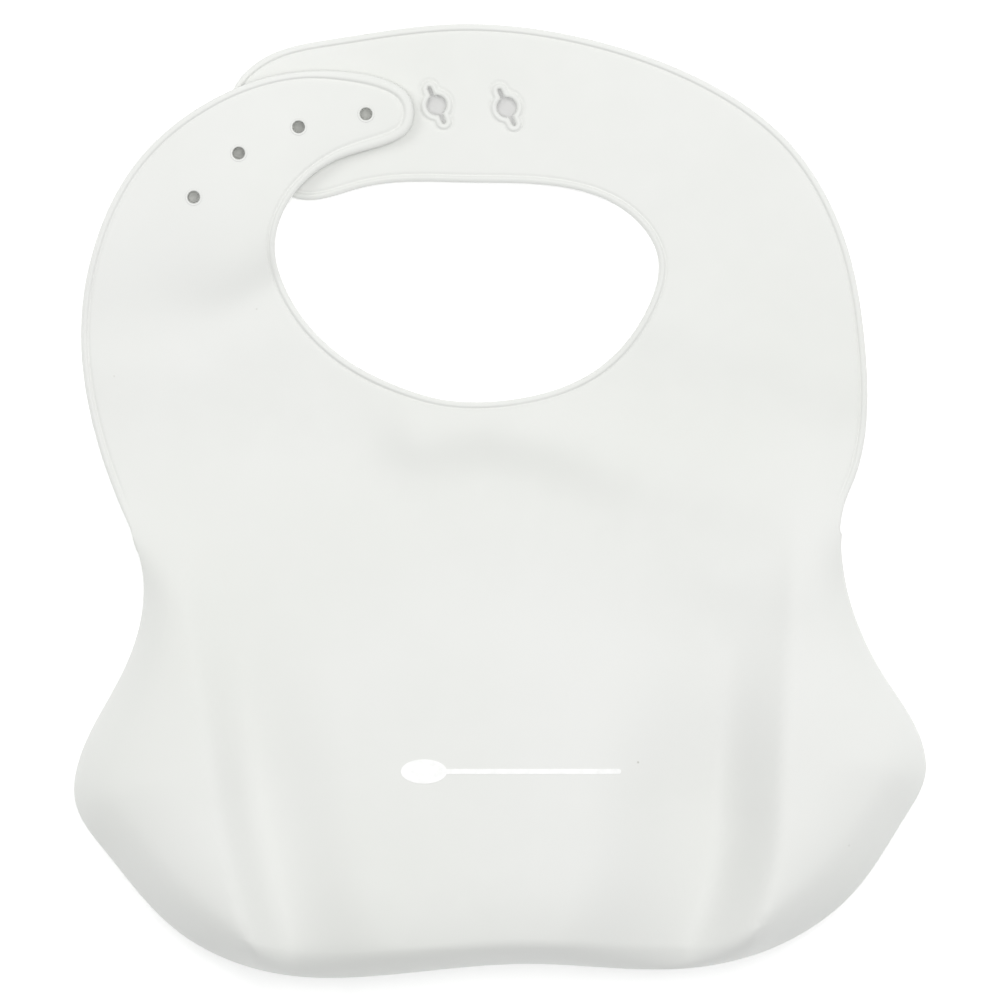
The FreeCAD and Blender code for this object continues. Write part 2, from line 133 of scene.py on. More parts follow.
OVERLAP_X = -72.0           # there is no bulge where the strap lies on the hole strap
OVERLAP_X_LENGTH = 34.0
OVERLAP_Y = 72.0
OVERLAP_Y_LENGTH = 20.0
SHOULDER_DROOP = 2.2        # how far the shoulders' outer edges hang
DROOP_X = 112.0
DROOP_POWER = 4
SEAM_Y = 37.5               # the collar's two halves part from the chest here
SEAM_EASE = 12.0            # the peg strap's lift starts over this length above the seam
FRONT_FOOT_Y = -104.0       # foot of the moving pocket front
FRONT_SIDE_X = 95.0         # the pocket front has stopped moving here
RIM_CORNER_Y = -8.0         # where the pocket's rim meets the waists
RIM_DIP = 66.0
RIM_POWER = 2.4

HEM_HALF = 1.2              # half the hem's thickness
GROOVE_HALF = 0.52          # half the sheet's thickness in the groove beside the hem
HEM_FADE_LOW = -4.0         # the hem's bead fades out down the waists, between these heights
HEM_FADE_HIGH = 9.0
HEM_ROUND = 1.15            # width of the bead's rounded side
HEM_KNOTS = [0.0, 1.5, 2.05, 2.65]      # the bead's top, its far side, the groove, the plain sheet
TIP_HEM = 0.45              # how much wider the hem is round the peg strap's tip
TIP_X = -58.0
TIP_X_LENGTH = 22.0
TIP_Y = 80.0
TIP_Y_LENGTH = 12.0
STEM_RADIUS = 2.45
BORE_RADIUS = 1.75
BORE_BOTTOM = 1.3           # the bore in each peg ends above its head's underside
HEAD_RADIUS = 4.2
HEAD_TOP = 2.2
HEAD_BOTTOM = 0.3
KEYHOLE_RADIUS = 2.75
SLIT_HALF_LENGTH = 5.6
SLIT_HALF_WIDTH = 0.5
SLIT_LEAN = 23.5
COLLAR_WIDTH = 1.8
COLLAR_ROUND = 0.45         # width of the rounded side of a keyhole's collar
COLLAR_REACH = 2.45         # the sheet has its plain thickness again from here

# soft folds of the sheet: path, width, height (a sink is below zero)
UNDER_NECK_FOLD = [(-22.0, 18.5), (-4.0, 21.5), (14.0, 18.0), (34.0, 12.0), (56.0, 8.5), (80.0, 2.0)]
UNDER_NECK_WIDTH = 11.0
UNDER_NECK_HEIGHT = 3.8
UNDER_NECK_FADE_X = 12.0    # this fold grows wider and lower to the right of here
UNDER_NECK_FADE_LENGTH = 55.0
UNDER_NECK_WIDER = 6.0
UNDER_NECK_LOWER = 1.0
OTHER_FOLDS = [
    ([(-5.0, -26.0), (30.0, -32.0), (62.0, -36.0), (84.0, -40.0)], 16.0, -1.6),
    ([(44.0, 50.0), (62.0, 44.0), (96.0, 33.0)], 9.5, 0.6),
    ([(-112.0, 36.0), (-84.0, 38.0), (-66.0, 48.0)], 9.0, 0.5),
]
UNEVENNESS = 0.22

PEGS = [(-86.4, 85.4), (-73.7, 97.8), (-56.8, 105.2), (-37.8, 108.9)]
KEYHOLES = [(-56.8, 105.2), (-37.8, 108.9), (-17.9, 111.4), (1.9, 110.8)]

# the bib's whole edge: down the left side, round the pocket, up the right side, round the hole strap,
# down and up the neck opening, and back round the peg strap
SKIRT = [(-110.3, 6.0), (-105.0, -7.0), (-100.9, -20.0), (-101.2, -33.0), (-107.0, -49.6),
         (-118.8, -73.5), (-119.8, -85.0), (-111.3, -99.0), (-90.7, -121.6), (-62.0, -133.6),
         (-33.9, -134.0), (8.5, -130.7), (52.0, -132.0), (79.1, -125.3), (100.0, -110.3),
         (114.4, -89.1), (120.0, -77.5), (118.8, -67.5), (108.4, -49.6), (98.8, -28.4),
         (96.3, -14.0), (97.7, 0.0), (100.1, 6.0)]
HOLE_SIDE = [(103.6, 23.0), (103.0, 45.0), (98.4, 70.5), (81.6, 101.0), (57.9, 118.2),
             (29.7, 128.9), (-12.7, 134.3), (-48.0, 130.0), (-68.5, 123.6), (-75.9, 113.4),
             (-74.0, 105.5), (-67.2, 92.0), (-57.0, 84.9), (-39.7, 87.9), (-9.9, 89.6),
             (20.0, 87.8), (36.0, 81.0), (44.6, 68.0), (41.5, 54.0), (26.8, 36.6), (6.7, 29.1),
             (-2.0, 28.0), (-9.9, 27.9)]
PEG_SIDE = [(-17.0, 28.7), (-25.1, 30.9), (-42.4, 39.0), (-59.6, 57.8), (-63.3, 72.0),
            (-58.5, 85.6), (-45.3, 96.1), (-31.0, 100.7), (-26.1, 103.8), (-24.3, 109.1),
            (-26.1, 114.7), (-31.0, 118.1), (-43.0, 120.8), (-63.0, 119.8), (-83.0, 112.0),
            (-102.2, 95.9), (-114.9, 70.5), (-118.4, 45.0), (-115.5, 23.0)]

# ---- light and view, in metres and watts ----
LIGHTS = [
    ("overhead", (0.0, 0.15, 1.5), 0.8, 8.95, (1.0, 0.987, 0.975)),
    ("left_near", (-0.45, 0.35, 0.45), 0.3, 1.03, (1.0, 1.0, 0.98)),
    ("right_near", (0.45, 0.35, 0.45), 0.3, 0.82, (1.0, 1.0, 0.98)),
    ("right_far", (1.3, 0.3, 0.7), 0.6, 1.72, (1.0, 1.0, 1.0)),
]
SKY_COLOUR = (0.975, 0.99, 1.0, 1.0)
SKY_STRENGTH = 0.43
FLOOR_HALF = 20.0
FLOOR_GAP = 0.0002          # the floor lies this far below the bib
FLOOR_GLOW = 0.3
VIEW_WIDTH = 0.2824
LENS = 800.0                # focal length and sensor width in millimetres
SENSOR = 36.0

# ---- mesh spacing ----
SPLINE_STEPS = 60           # dense points between two of the points above
EDGE_STEP = 1.0
FOLD_STEP = 1.6
LEAST_SPACING = 0.16
BORDER_GAP = 0.03           # rows of points keep this far from borders
CUT_GAP = 0.3               # and this far from inner cuts
FIRST_ROW = 0.2             # seams and cuts leave out the hem's rows nearer than this
HEM_OVERLAP = 25.0          # the left and the right hem run past each other below the neck
RIM_STEP = 1.2
CHUNK = 1500                # points measured at a time
PAST_SEAM = 8.0             # rows run on past a seam, so that none are missing beside it
SHEET_STEP = 2.3
UNDER_STEP = 3.0
HEM_ROWS = [0.07, 0.28, 0.62, 1.05, 1.45, 1.7, 1.87, 2.02, 2.2, 2.5, 2.95, 3.7, 4.9]
PEG_ROWS = [(2.8, 40), (3.4, 36), (4.3, 30)]       # radius and number of points
KEYHOLE_ROWS = [0.04, 0.14, 0.3, 0.45, 0.9, 1.35, 1.6, 1.75, 1.95, 2.4, 3.1]
FOLD_ROWS = [ROLL * (1.0 - math.cos(math.radians(a))) for a in range(7, 92, 6)]
UNDER_FOLD_ROWS = FOLD_ROWS[::2]


# ---- plane geometry ----
def closed_spline(points, per_span=SPLINE_STEPS):
    """Dense points along a smooth closed curve through a few points."""
    p = np.array(points, float)
    n = len(p)
    ahead = np.roll(p, -1, 0) - p
    h = np.linalg.norm(ahead, axis=1)
    matrix = np.zeros((n, n))
    right = np.zeros((n, 2))
    for i in range(n):
        before = h[i - 1]
        after = h[i]
        matrix[i, i - 1] = after
        matrix[i, i] = 2.0 * (before + after)
        matrix[i, (i + 1) % n] = before
        right[i] = 3.0 * (after * ahead[i - 1] / before + before * ahead[i] / after)
    slope = np.linalg.solve(matrix, right)
    u = (np.arange(per_span) / per_span)[:, None]
    dense = []
    for i in range(n):
        j = (i + 1) % n
        dense.append((2 * u**3 - 3 * u**2 + 1) * p[i] + (u**3 - 2 * u**2 + u) * h[i] * slope[i]
                     + (3 * u**2 - 2 * u**3) * p[j] + (u**3 - u**2) * h[i] * slope[j])
    dense = np.vstack(dense)
    return np.vstack([dense, dense[:1]])


class Loop:
    """A closed curve measured along its length."""

    def __init__(self, dense):
        self.points = dense
        steps = np.linalg.norm(np.diff(dense, axis=0), axis=1)
        self.s = np.concatenate([[0.0], np.cumsum(steps)])
        self.length = self.s[-1]

    def at(self, s):
        s = np.mod(s, self.length)
        return np.stack([np.interp(s, self.s, self.points[:, k]) for k in (0, 1)], axis=-1)

    def inward(self, s):
        """Unit vectors to the left of the curve."""
        way = self.at(np.asarray(s) + 0.2) - self.at(np.asarray(s) - 0.2)
        way /= np.linalg.norm(way, axis=-1, keepdims=True)
        return np.stack([-way[..., 1], way[..., 0]], axis=-1)

    def crossings(self, y):
        """Places where the curve crosses a level line."""
        v = self.points[:, 1] - y
        i = np.nonzero(v[:-1] * v[1:] < 0.0)[0]
        return self.s[i] + (self.s[i + 1] - self.s[i]) * v[i] / (v[i] - v[i + 1])

    def steps(self, a, b, step):
        """Evenly spaced places from a to b, going forwards."""
        span = (b - a) % self.length
        return a + span * np.arange(int(span / step) + 2) / (int(span / step) + 1)


def nearest(points, line):
    """Distance from each point to a line of straight pieces."""
    points = np.asarray(points, float)
    out = np.empty(len(points))
    start = line[:-1]
    way = line[1:] - start
    square = np.maximum((way**2).sum(1), 1e-12)
    for k in range(0, len(points), CHUNK):
        p = points[k:k + CHUNK, None, :] - start[None]
        t = np.clip((p * way).sum(2) / square, 0.0, 1.0)
        out[k:k + CHUNK] = np.sqrt((((p - t[..., None] * way) ** 2).sum(2)).min(1))
    return out


def inside(points, polygon):
    """Which points lie inside a closed polygon."""
    points = np.asarray(points, float)
    result = np.zeros(len(points), bool)
    ax, ay = polygon[:, 0], polygon[:, 1]
    bx, by = np.roll(ax, -1), np.roll(ay, -1)
    rise = np.where(np.abs(by - ay) < 1e-12, 1e-12, by - ay)
    for k in range(0, len(points), CHUNK):
        x = points[k:k + CHUNK, 0:1]
        y = points[k:k + CHUNK, 1:2]
        hit = ((ay > y) != (by > y)) & (x < (bx - ax) * (y - ay) / rise + ax)
        result[k:k + CHUNK] = hit.sum(1) % 2 == 1
    return result


def rows_along(line, inward, offsets, clear_of):
    """Points that follow a line at some distances from it, left out where rows would cross."""
    rows = []
    for offset in offsets:
        row = line + inward * offset
        rows.append(row[nearest(row, clear_of) > offset - 0.02])
    return np.vstack(rows)


def lattice(low, high, step):
    """Staggered grid of points."""
    rise = step * math.sqrt(3.0) / 2.0
    rows = []
    for j in range(int((high[1] - low[1]) / rise) + 1):
        xs = np.arange(low[0] + (j % 2) * step / 2.0, high[0], step)
        rows.append(np.stack([xs, np.full(len(xs), low[1] + j * rise)], axis=1))
    return np.vstack(rows)


def thinned(points, least):
    """The points in order, without any that come too close to an earlier one."""
    kept = []
    cells = {}
    for x, y in points:
        i, j = int(math.floor(x / least)), int(math.floor(y / least))
        close = False
        for a in (i - 1, i, i + 1):
            for b in (j - 1, j, j + 1):
                for px, py in cells.get((a, b), ()):
                    if (px - x) ** 2 + (py - y) ** 2 < least * least:
                        close = True
        if not close:
            cells.setdefault((i, j), []).append((x, y))
            kept.append((x, y))
    return np.array(kept)


def triangulate(border, holes, cuts, rows, step, margin):
    """Triangles over a bordered region, following its border, holes, inner cuts and rows."""
    loops = [border] + holes
    lines = [np.vstack([loop, loop[:1]]) for loop in loops] + cuts
    fixed = []
    edges = []
    for loop in loops:
        base = len(fixed)
        fixed += [tuple(p) for p in loop]
        edges += [(base + i, base + (i + 1) % len(loop)) for i in range(len(loop))]
    for line in cuts:
        base = len(fixed)
        fixed += [tuple(p) for p in line]
        edges += [(base + i, base + i + 1) for i in range(len(line) - 1)]
    grid = lattice(border.min(0), border.max(0), step)
    grid = grid[inside(grid, border)]
    for line in lines:
        grid = grid[nearest(grid, line) > step * 0.55]
    for loop, width in margin:
        grid = grid[nearest(grid, loop) > width + step * 0.4]
    rows = rows[inside(rows, border)]
    for line in lines:
        rows = rows[nearest(rows, line) > BORDER_GAP]
    for line in cuts:
        rows = rows[nearest(rows, line) > CUT_GAP]
    inner = thinned(np.vstack([rows, grid]), LEAST_SPACING)
    points = [Vector(p) for p in fixed] + [Vector((float(x), float(y))) for x, y in inner]
    got = delaunay_2d_cdt(points, edges, [], 0, 1e-5)
    verts = np.array([(v.x, v.y) for v in got[0]])
    faces = np.array([f for f in got[2] if len(f) == 3])
    a, b, c = (verts[faces[:, k]] for k in range(3))
    turn = (b[:, 0] - a[:, 0]) * (c[:, 1] - a[:, 1]) - (b[:, 1] - a[:, 1]) * (c[:, 0] - a[:, 0])
    faces[turn < 0] = faces[turn < 0][:, ::-1]
    middle = (a + b + c) / 3.0
    keep = inside(middle, border) & (np.abs(turn) > 1e-7)
    for hole in holes:
        keep &= ~inside(middle, hole)
    return verts, faces[keep]


# ---- heights of the silicone's faces ----
def smooth(u):
    u = np.clip(u, 0.0, 1.0)
    return u * u * (3.0 - 2.0 * u)


def climbing(u):
    """Even rise from 0 to 1 with an eased start."""
    u = np.clip(u, 0.0, 1.0)
    eased = u * u / (RISE_EASE * (2.0 - RISE_EASE))
    return np.where(u < RISE_EASE, eased, (u - RISE_EASE / 2.0) / (1.0 - RISE_EASE / 2.0))


def soft_ridge(x, y, path, width, height):
    """A low soft fold along a path: positive stands up, negative sinks."""
    d = nearest(np.stack([x, y], axis=1), np.array(path, float))
    return height * np.exp(-((d / width) ** 2))


def drape(x, y):
    """How the soft sheet lies: a few low folds and a slight unevenness."""
    fading = smooth((x - UNDER_NECK_FADE_X) / UNDER_NECK_FADE_LENGTH)
    z = soft_ridge(x, y, UNDER_NECK_FOLD, UNDER_NECK_WIDTH + UNDER_NECK_WIDER * fading,
                   UNDER_NECK_HEIGHT - UNDER_NECK_LOWER * fading)
    for path, width, height in OTHER_FOLDS:
        z += soft_ridge(x, y, path, width, height)
    z += UNEVENNESS * np.sin(x / 17.0 + 1.3 * np.sin(y / 23.0)) * np.sin(y / 14.0 + 0.6)
    return z


def open_height(x, y):
    """Upper face of the sheet round the neck, chest and shoulders."""
    rise = climbing((RISE_START_Y - y) / RISE_LENGTH)
    droop = np.minimum(np.abs(x) / DROOP_X, 1.1) ** DROOP_POWER
    return STRAP_TOP + (PANEL_TOP - STRAP_TOP) * rise - SHOULDER_DROOP * droop + drape(x, y)


def peg_height(x, y):
    """Upper face of the peg strap, which climbs onto the hole strap over a soft fold."""
    past = np.clip(x - PEG_FOOT_X, 0.0, PEG_FOOT_END)
    foot = PEG_FOOT_Y + PEG_FOOT_RISE * past**PEG_FOOT_POWER
    flat = smooth((FLAT_X - x) / FLAT_LENGTH)
    blunt = CLIMB_ROUND + FLAT_ROUND_MORE * flat
    soft = blunt * np.log1p(np.exp((y - foot) / blunt))
    climb = 1.0 - np.exp(-soft / (CLIMB_LENGTH + FLAT_CLIMB_MORE * flat))
    swell = (1.0 - FLAT_SWELL_LESS * flat) * soft / SWELL_LENGTH * np.exp(1.0 - soft / SWELL_LENGTH)
    swell *= 1.0 - (smooth((x - OVERLAP_X) / OVERLAP_X_LENGTH)
                    * smooth((y - OVERLAP_Y) / OVERLAP_Y_LENGTH))
    lift = PEG_STRAP_LIFT * climb + PEG_STRAP_SWELL * swell
    return open_height(x, y) + lift * smooth((y - SEAM_Y) / SEAM_EASE)


def turned_under(y):
    return smooth((TURN_START_Y - y) / TURN_LENGTH)


def turned_height(x, y):
    """Height of the pocket's outermost edge where it has fully turned under."""
    lift = EDGE_LIFT * smooth((EDGE_LIFT_Y - y) / EDGE_LIFT_LENGTH)
    left_sag = LEFT_SAG * smooth((LEFT_SAG_X - x) / LEFT_SAG_LENGTH)
    right_sag = RIGHT_SAG * smooth((x - RIGHT_SAG_X) / RIGHT_SAG_LENGTH)
    return EDGE_Z + lift - left_sag - right_sag


def edge_height(x, y):
    turned_z = turned_height(x, y)
    return turned_z + (open_height(x, y) - turned_z) * (1.0 - turned_under(y))


def rolled(d, side=0.0):
    """Rise of the rolled edge: 0 at the outline, 1 well inside it."""
    share = EASE_SHARE * (1.0 - SIDE_EASE_LESS * side)
    tight = 1.0 - np.clip(d / (ROLL + SIDE_ROLL * side), 0.0, 1.0)
    wide = 1.0 - np.clip(d / EASE, 0.0, 1.0)
    return (1.0 - share) * np.sqrt(1.0 - tight**2) + share * (1.0 - wide**2)


def crest_x(x, y):
    """Distance from the middle line to the pocket's side crease, at some height up the bib."""
    lean = np.where(x < 0.0, LEFT_CREST_LEAN, RIGHT_CREST_LEAN) * np.maximum(y - CREST_LOW_Y, 0.0)
    past = np.maximum(CREST_LOW_Y - y, 0.0)
    sweep = np.where(x < 0.0, LEFT_CREST_SWEEP[0] * past + LEFT_CREST_SWEEP[1] * past**2,
                     RIGHT_CREST_SWEEP[0] * past + RIGHT_CREST_SWEEP[1] * past**2)
    return np.where(x < 0.0, LEFT_CREST_X, RIGHT_CREST_X) + lean - sweep


def hollow(out, depth, reach):
    """A crease's inner side: down a soft slope from the crease, then slowly up again."""
    inward = np.maximum(-out, 0.0)
    down = smooth(inward / reach)
    back = smooth((inward - reach * 0.8) / (reach * 2.2))
    return depth * down * (1.0 - back)


def panel_height(x, y, d):
    """Upper face of the pocket half, at a distance d in from its outline."""
    turned = turned_under(y)
    out = np.abs(x) - crest_x(x, y)
    near = np.exp(-(np.sqrt(out**2 + CREST_ROUND**2) - CREST_ROUND) / CREST_REACH)
    ridge = np.where(out < 0.0, near, 1.0)
    low = smooth((VALLEY_START_Y - y) / VALLEY_LENGTH)
    valley = low * np.where(x < 0.0, hollow(out, VALLEY_LEFT, VALLEY_LEFT_REACH),
                            hollow(out, VALLEY_RIGHT, VALLEY_RIGHT_REACH))
    sheet = open_height(x, y)
    top = sheet + turned * (CREST_RISE * ridge - valley)
    share = np.where(out > 0.0, out / np.maximum(out + d, 1e-6), 0.0)
    fall = share**WALL_POWER
    top -= WALL_FALL * turned * fall * (top - turned_height(x, y))
    edge = edge_height(x, y)
    side = smooth((np.abs(x) - SIDE_START_X) / SIDE_LENGTH)
    return edge + (top - edge) * (1.0 - turned * (1.0 - rolled(d, side)))


def under_height(x, y, d):
    """Outer face of the pocket's underside, at a distance d in from its outline."""
    settled = smooth((SETTLE_START_Y - y) / SETTLE_LENGTH)
    edge = edge_height(x, y)
    floor = (edge - CORNER_DEPTH) * (1.0 - settled)
    return edge - (edge - floor) * rolled(d)


# ---- half thickness of the silicone beside its free edges ----
def blended(e, knots, values):
    """Smooth steps between the given values."""
    out = np.full(len(e), values[-1])
    for a, b, u, v in zip(knots, knots[1:], values, values[1:]):
        here = (e >= a) & (e < b)
        out[here] = u + (v - u) * smooth((e[here] - a) / (b - a))
    return out


def plain_half(e):
    """Half thickness at a distance e from a plain rounded edge."""
    half = SHEET / 2.0
    return half * np.sqrt(np.clip(1.0 - (1.0 - np.minimum(e / half, 1.0)) ** 2, 0.0, 1.0))


def tip_widening(x, y):
    """How many times its usual width the peg strap's hem has."""
    return 1.0 + (TIP_HEM * smooth((x - TIP_X) / TIP_X_LENGTH)
                  * smooth((y - TIP_Y) / TIP_Y_LENGTH))


def hem_half(e, amount=1.0):
    """Half thickness at a distance e from a hemmed edge: a round bead, a groove, then the sheet."""
    bead = HEM_HALF * np.sqrt(np.clip(1.0 - (1.0 - e / HEM_ROUND) ** 2, 0.0, 1.0))
    rest = blended(e, HEM_KNOTS, [HEM_HALF, HEM_HALF, GROOVE_HALF, SHEET / 2.0])
    plain = plain_half(e)
    return plain + (np.where(e < HEM_ROUND, bead, rest) - plain) * amount


def collar_half(e):
    """Half thickness at a distance e from a keyhole."""
    rim = HEM_HALF * np.sqrt(np.clip(1.0 - (1.0 - e / COLLAR_ROUND) ** 2, 0.0, 1.0))
    rest = blended(e, [0.0, 1.4, COLLAR_WIDTH, 2.0, COLLAR_REACH],
                   [HEM_HALF, HEM_HALF, GROOVE_HALF, GROOVE_HALF, SHEET / 2.0])
    return np.where(e < COLLAR_ROUND, rim, rest)


# ---- outlines ----
EDGE = Loop(closed_spline(SKIRT + HOLE_SIDE + PEG_SIDE))
SEAM_RIGHT, SEAM_NECK_RIGHT, SEAM_NECK_LEFT, SEAM_LEFT = EDGE.crossings(SEAM_Y)
CORNER_LEFT, CORNER_RIGHT = EDGE.crossings(RIM_CORNER_Y)[:2]
LOW = EDGE.s[SPLINE_STEPS * (len(SKIRT) + len(HOLE_SIDE) - 1)]
FOLD_TOP = EDGE.s[SPLINE_STEPS * (len(SKIRT) - 1)]


def keyhole_outline(place, count=22):
    """Round hole with a narrow slit out of each side, leaning."""
    meet = math.acos(SLIT_HALF_WIDTH / KEYHOLE_RADIUS)
    reach = SLIT_HALF_LENGTH - SLIT_HALF_WIDTH
    foot = KEYHOLE_RADIUS * math.sin(meet)
    points = []
    for turn in (0.0, math.pi):
        side = []
        for i in range(count + 1):
            a = -meet + 2.0 * meet * i / count
            side.append((KEYHOLE_RADIUS * math.cos(a), KEYHOLE_RADIUS * math.sin(a)))
        for i in range(1, 5):
            side.append((SLIT_HALF_WIDTH, foot + (reach - foot) * i / 5.0))
        for i in range(9):
            a = math.pi * i / 8.0
            side.append((SLIT_HALF_WIDTH * math.cos(a), reach + SLIT_HALF_WIDTH * math.sin(a)))
        for i in range(4, 0, -1):
            side.append((-SLIT_HALF_WIDTH, foot + (reach - foot) * i / 5.0))
        points += [(x * math.cos(turn) - y * math.sin(turn), x * math.sin(turn) + y * math.cos(turn))
                   for x, y in side]
    lean = math.radians(SLIT_LEAN)
    points = np.array(points)
    turned = np.stack([points[:, 0] * math.cos(lean) - points[:, 1] * math.sin(lean),
                       points[:, 0] * math.sin(lean) + points[:, 1] * math.cos(lean)], axis=1)
    return turned + np.array(place)


def outward_rows(loop, offsets):
    """Rows of points round the outside of a small closed outline."""
    way = np.roll(loop, -1, 0) - np.roll(loop, 1, 0)
    way /= np.linalg.norm(way, axis=1, keepdims=True)
    out = np.stack([way[:, 1], -way[:, 0]], axis=1)
    return rows_along(loop, out, offsets, np.vstack([loop, loop[:1]]))


def ring(place, radius, count):
    turn = np.arange(count) * 2.0 * math.pi / count
    return np.array(place) + radius * np.stack([np.cos(turn), np.sin(turn)], axis=1)


def seam_line(a, b):
    """Points along a seam between two hemmed edges, at the hem's own rows where it crosses them."""
    length = np.linalg.norm(b - a)
    fine = np.linspace(0.0, length / 3.0, 400)
    rows = np.array([r for r in HEM_ROWS if r > FIRST_ROW])
    way = (b - a) / length
    starts = np.interp(rows, nearest(a + way * fine[:, None], EDGE.points), fine)
    ends = np.interp(rows, nearest(b - way * fine[:, None], EDGE.points), fine)
    clear = length - starts[-1] - ends[-1]
    count = int(clear / SHEET_STEP) + 1
    inner = starts[-1] + clear * np.arange(1, count) / count
    places = np.concatenate([[0.0], starts, inner, length - ends[::-1], [length]])
    return a + way * places[:, None]


def arc(a, b, step):
    return EDGE.at(EDGE.steps(a, b, step))


def hem_rows(a, b, hem_line, widening=None):
    s = EDGE.steps(a, b, EDGE_STEP)
    line = EDGE.at(s)
    inward = EDGE.inward(s)
    if widening is not None:
        inward = inward * widening(*line.T)[:, None]
    return rows_along(line, inward, HEM_ROWS, hem_line)


HEM_LEFT = arc(LOW - HEM_OVERLAP, CORNER_LEFT, 0.5)
HEM_RIGHT = arc(CORNER_RIGHT, LOW + HEM_OVERLAP, 0.5)
FOLD = arc(CORNER_LEFT, CORNER_RIGHT, FOLD_STEP)
WAISTS_AND_POCKET = arc(0.0, FOLD_TOP, 0.8)


def rim_line():
    """The pocket's rim, from the right waist to the left one."""
    right = FOLD[-1]
    left = FOLD[0]
    middle = (left[0] + right[0]) / 2.0
    half = (right[0] - left[0]) / 2.0
    x = np.linspace(right[0], left[0], 700)
    y = RIM_CORNER_Y - RIM_DIP * (1.0 - np.abs((x - middle) / half) ** RIM_POWER)
    y[0] = right[1]
    y[-1] = left[1]
    s = np.concatenate([[0.0], np.cumsum(np.hypot(np.diff(x), np.diff(y)))])
    places = np.linspace(0.0, s[-1], int(s[-1] / RIM_STEP) + 1)
    return np.stack([np.interp(places, s, x), np.interp(places, s, y)], axis=1)


RIM = rim_line()


# ---- the continuous skin ----
def lower_patch():
    """Upper face below the seam: chest, waists and the panel over the pocket."""
    left = arc(SEAM_LEFT, CORNER_LEFT, EDGE_STEP)
    right = arc(CORNER_RIGHT, SEAM_RIGHT, EDGE_STEP)
    neck = arc(SEAM_NECK_RIGHT, SEAM_NECK_LEFT, EDGE_STEP)
    seam_right = seam_line(right[-1], neck[0])
    seam_left = seam_line(neck[-1], left[0])
    border = np.vstack([left[:-1], FOLD[:-1], right[:-1], seam_right[:-1], neck[:-1],
                        seam_left[:-1]])
    hems = np.vstack([HEM_LEFT, HEM_RIGHT])
    rows = [hem_rows(SEAM_LEFT - PAST_SEAM, CORNER_LEFT, HEM_LEFT),
            hem_rows(CORNER_RIGHT, SEAM_RIGHT + PAST_SEAM, HEM_RIGHT),
            hem_rows(SEAM_NECK_RIGHT - PAST_SEAM, LOW, HEM_RIGHT),
            hem_rows(LOW, SEAM_NECK_LEFT + PAST_SEAM, HEM_LEFT)]
    s = EDGE.steps(CORNER_LEFT, CORNER_RIGHT, FOLD_STEP)
    rows.append(rows_along(EDGE.at(s), EDGE.inward(s), FOLD_ROWS, WAISTS_AND_POCKET))
    margin = [(HEM_LEFT, HEM_ROWS[-1]), (HEM_RIGHT, HEM_ROWS[-1]), (FOLD, FOLD_ROWS[-1])]
    verts, faces = triangulate(border, [], [], np.vstack(rows), SHEET_STEP, margin)
    d = nearest(verts, WAISTS_AND_POCKET)
    d[nearest(verts, FOLD) < 1e-4] = 0.0
    x, y = verts.T
    z = np.where(y > TURN_START_Y + 1.0, open_height(x, y), panel_height(x, y, d))
    e = np.minimum(nearest(verts, HEM_LEFT), nearest(verts, HEM_RIGHT))
    amount = smooth((y - HEM_FADE_LOW) / (HEM_FADE_HIGH - HEM_FADE_LOW))
    return verts, faces, z, hem_half(e, amount)


def peg_patch():
    """Upper face of the left shoulder and the peg strap, with a hole for each peg."""
    edge = arc(SEAM_NECK_LEFT, SEAM_LEFT, EDGE_STEP)
    seam = seam_line(EDGE.at(SEAM_NECK_LEFT), EDGE.at(SEAM_LEFT))[::-1]
    border = np.vstack([edge[:-1], seam[:-1]])
    holes = [ring(place, STEM_RADIUS, 40) for place in PEGS]
    rows = [hem_rows(SEAM_NECK_LEFT - PAST_SEAM, SEAM_LEFT + PAST_SEAM, HEM_LEFT, tip_widening)]
    rows += [ring(place, r, n) for place in PEGS for r, n in PEG_ROWS]
    margin = [(HEM_LEFT, HEM_ROWS[-1])] + [(ring(place, *PEG_ROWS[-1]), 0.0) for place in PEGS]
    verts, faces = triangulate(border, holes, [], np.vstack(rows), SHEET_STEP, margin)
    e = nearest(verts, HEM_LEFT) / tip_widening(*verts.T)
    return verts, faces, peg_height(*verts.T), hem_half(e)


def hole_patch():
    """Upper face of the right shoulder and the hole strap, with its keyholes."""
    edge = arc(SEAM_RIGHT, SEAM_NECK_RIGHT, EDGE_STEP)
    seam = seam_line(EDGE.at(SEAM_RIGHT), EDGE.at(SEAM_NECK_RIGHT))[::-1]
    border = np.vstack([edge[:-1], seam[:-1]])
    holes = [keyhole_outline(place) for place in KEYHOLES]
    rows = [hem_rows(SEAM_RIGHT - PAST_SEAM, SEAM_NECK_RIGHT + PAST_SEAM, HEM_RIGHT)]
    rows += [outward_rows(hole, KEYHOLE_ROWS) for hole in holes]
    closed = [np.vstack([hole, hole[:1]]) for hole in holes]
    margin = [(HEM_RIGHT, HEM_ROWS[-1])] + [(line, KEYHOLE_ROWS[-1]) for line in closed]
    verts, faces = triangulate(border, holes, [], np.vstack(rows), SHEET_STEP, margin)
    half = hem_half(nearest(verts, HEM_RIGHT))
    for line in closed:
        e = nearest(verts, line)
        half = np.where(e < COLLAR_REACH, collar_half(e), half)
    return verts, faces, open_height(*verts.T), half


